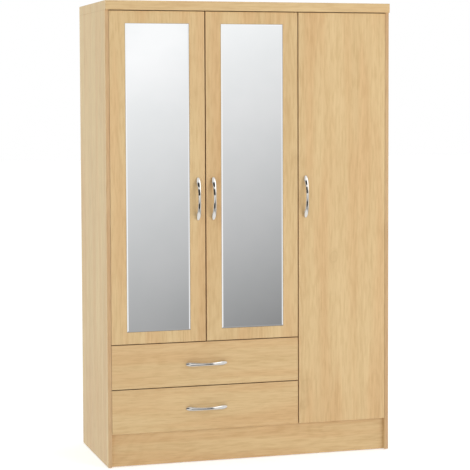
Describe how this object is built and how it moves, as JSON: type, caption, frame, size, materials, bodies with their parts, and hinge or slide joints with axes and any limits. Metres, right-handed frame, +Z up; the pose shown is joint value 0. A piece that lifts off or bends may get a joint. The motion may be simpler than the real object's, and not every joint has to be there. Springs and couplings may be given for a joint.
{
  "type": "wardrobe",
  "caption": "Free-standing wardrobe with mirrored hinged doors over wide drawers on roller runners, a plain full-height door, a hanging rail and shelves.",
  "frame": {"origin": "floor level, at the middle of the whole width and of the whole depth, handles included", "axes": "+X to the right seen from the front, +Y towards the back, +Z up; the doors and drawer fronts face -Y"},
  "size_m": [1.17, 0.528, 1.82],
  "materials": {
    "oak_foil_board": "oak-effect foil on particle board, satin",
    "printed_hardboard": "thin hardboard with a printed oak face, matt",
    "beech": "plain beech",
    "silvered_mirror": "silvered float glass with a narrow bevel",
    "polished_chrome": "polished",
    "bright_steel": "nickel or zinc plated",
    "zinc_casting": "die-cast zinc",
    "white_painted_steel": "white powder coat",
    "white_nylon": "plain"
  },
  "bodies": {
    "carcass": {"back_nails": "bright_steel", "back_panel_left": "printed_hardboard", "back_panel_right": "printed_hardboard", "base_panel": "oak_foil_board", "cabinet_runners": "white_painted_steel", "cam_bolts": "bright_steel", "cam_locks": "zinc_casting", "carcass_screws": "bright_steel", "centre_partition": "oak_foil_board", "dowels": "beech", "drawer_bay_shelf": "oak_foil_board", "floor_glides": "white_nylon", "front_plinth": "oak_foil_board", "hanging_rail": "bright_steel", "hat_shelf": "oak_foil_board", "hinge_arms": "bright_steel", "hinge_plates": "bright_steel", "left_side_panel": "oak_foil_board", "plinth_stretcher": "oak_foil_board", "rail_sockets": "bright_steel", "rear_plinth": "oak_foil_board", "right_fixed_shelf": "oak_foil_board", "right_loose_shelves": "oak_foil_board", "right_side_panel": "oak_foil_board", "shelf_pins": "bright_steel", "top_panel": "oak_foil_board", "wall_brackets": "bright_steel"},
    "left_door": {"left_door_fittings": "bright_steel", "left_door_handle": "polished_chrome", "left_door_mirror": "silvered_mirror", "left_door_panel": "oak_foil_board"},
    "left_hinge_links": {"left_hinge_links": "bright_steel"},
    "middle_door": {"middle_door_fittings": "bright_steel", "middle_door_handle": "polished_chrome", "middle_door_mirror": "silvered_mirror", "middle_door_panel": "oak_foil_board"},
    "middle_hinge_links": {"middle_hinge_links": "bright_steel"},
    "right_door": {"right_door_fittings": "bright_steel", "right_door_handle": "polished_chrome", "right_door_panel": "oak_foil_board"},
    "right_hinge_links": {"right_hinge_links": "bright_steel"},
    "lower_front_rollers": {"lower_drawer_front_rollers": "white_nylon"},
    "lower_rear_rollers": {"lower_drawer_rear_rollers": "white_nylon"},
    "lower_drawer": {"lower_drawer_back": "oak_foil_board", "lower_drawer_base": "printed_hardboard", "lower_drawer_fixings": "bright_steel", "lower_drawer_front": "oak_foil_board", "lower_drawer_handle": "polished_chrome", "lower_drawer_runners": "white_painted_steel", "lower_drawer_sides": "oak_foil_board"},
    "upper_front_rollers": {"upper_drawer_front_rollers": "white_nylon"},
    "upper_rear_rollers": {"upper_drawer_rear_rollers": "white_nylon"},
    "upper_drawer": {"upper_drawer_back": "oak_foil_board", "upper_drawer_base": "printed_hardboard", "upper_drawer_fixings": "bright_steel", "upper_drawer_front": "oak_foil_board", "upper_drawer_handle": "polished_chrome", "upper_drawer_runners": "white_painted_steel", "upper_drawer_sides": "oak_foil_board"}
  },
  "joints": [
    {"name": "left_door_hinge", "type": "hinge", "parent": "carcass", "child": "left_door", "pos_m": [-0.565, -0.234, 1.1325], "axis": [0, 0, -1], "range_deg": [0, 95]},
    {"name": "left_link_pivot", "type": "hinge", "parent": "carcass", "child": "left_hinge_links", "pos_m": [-0.551, -0.216, 1.1325], "axis": [0, 0, -1], "range_deg": [0, 47.5]},
    {"name": "middle_door_hinge", "type": "hinge", "parent": "carcass", "child": "middle_door", "pos_m": [0.1915, -0.234, 1.1325], "axis": [0, 0, 1], "range_deg": [0, 95]},
    {"name": "middle_link_pivot", "type": "hinge", "parent": "carcass", "child": "middle_hinge_links", "pos_m": [0.1775, -0.216, 1.1325], "axis": [0, 0, 1], "range_deg": [0, 47.5]},
    {"name": "right_door_hinge", "type": "hinge", "parent": "carcass", "child": "right_door", "pos_m": [0.565, -0.234, 0.956], "axis": [0, 0, 1], "range_deg": [0, 95]},
    {"name": "right_link_pivot", "type": "hinge", "parent": "carcass", "child": "right_hinge_links", "pos_m": [0.551, -0.216, 0.956], "axis": [0, 0, 1], "range_deg": [0, 47.5]},
    {"name": "lower_drawer_slide", "type": "slide", "parent": "carcass", "child": "lower_drawer", "axis": [0, -1, 0], "range_m": [0, 0.34]},
    {"name": "lower_front_roller_spin", "type": "hinge", "parent": "carcass", "child": "lower_front_rollers", "pos_m": [-0.19, -0.191, 0.1575], "axis": [1, 0, 0], "range_deg": [0, 1950]},
    {"name": "lower_rear_roller_spin", "type": "hinge", "parent": "lower_drawer", "child": "lower_rear_rollers", "pos_m": [-0.19, 0.179, 0.1575], "axis": [1, 0, 0], "range_deg": [0, 1950]},
    {"name": "upper_drawer_slide", "type": "slide", "parent": "carcass", "child": "upper_drawer", "axis": [0, -1, 0], "range_m": [0, 0.34]},
    {"name": "upper_front_roller_spin", "type": "hinge", "parent": "carcass", "child": "upper_front_rollers", "pos_m": [-0.19, -0.191, 0.334], "axis": [1, 0, 0], "range_deg": [0, 1950]},
    {"name": "upper_rear_roller_spin", "type": "hinge", "parent": "upper_drawer", "child": "upper_rear_rollers", "pos_m": [-0.19, 0.179, 0.334], "axis": [1, 0, 0], "range_deg": [0, 1950]}
  ],
  "couplings": [
    {"joint": "left_link_pivot", "follows": "left_door_hinge", "ratio": 0.5},
    {"joint": "middle_link_pivot", "follows": "middle_door_hinge", "ratio": 0.5},
    {"joint": "right_link_pivot", "follows": "right_door_hinge", "ratio": 0.5},
    {"joint": "lower_front_roller_spin", "follows": "lower_drawer_slide", "rad_per_m": 100},
    {"joint": "lower_rear_roller_spin", "follows": "lower_drawer_slide", "rad_per_m": 100},
    {"joint": "upper_front_roller_spin", "follows": "upper_drawer_slide", "rad_per_m": 100},
    {"joint": "upper_rear_roller_spin", "follows": "upper_drawer_slide", "rad_per_m": 100}
  ]
}
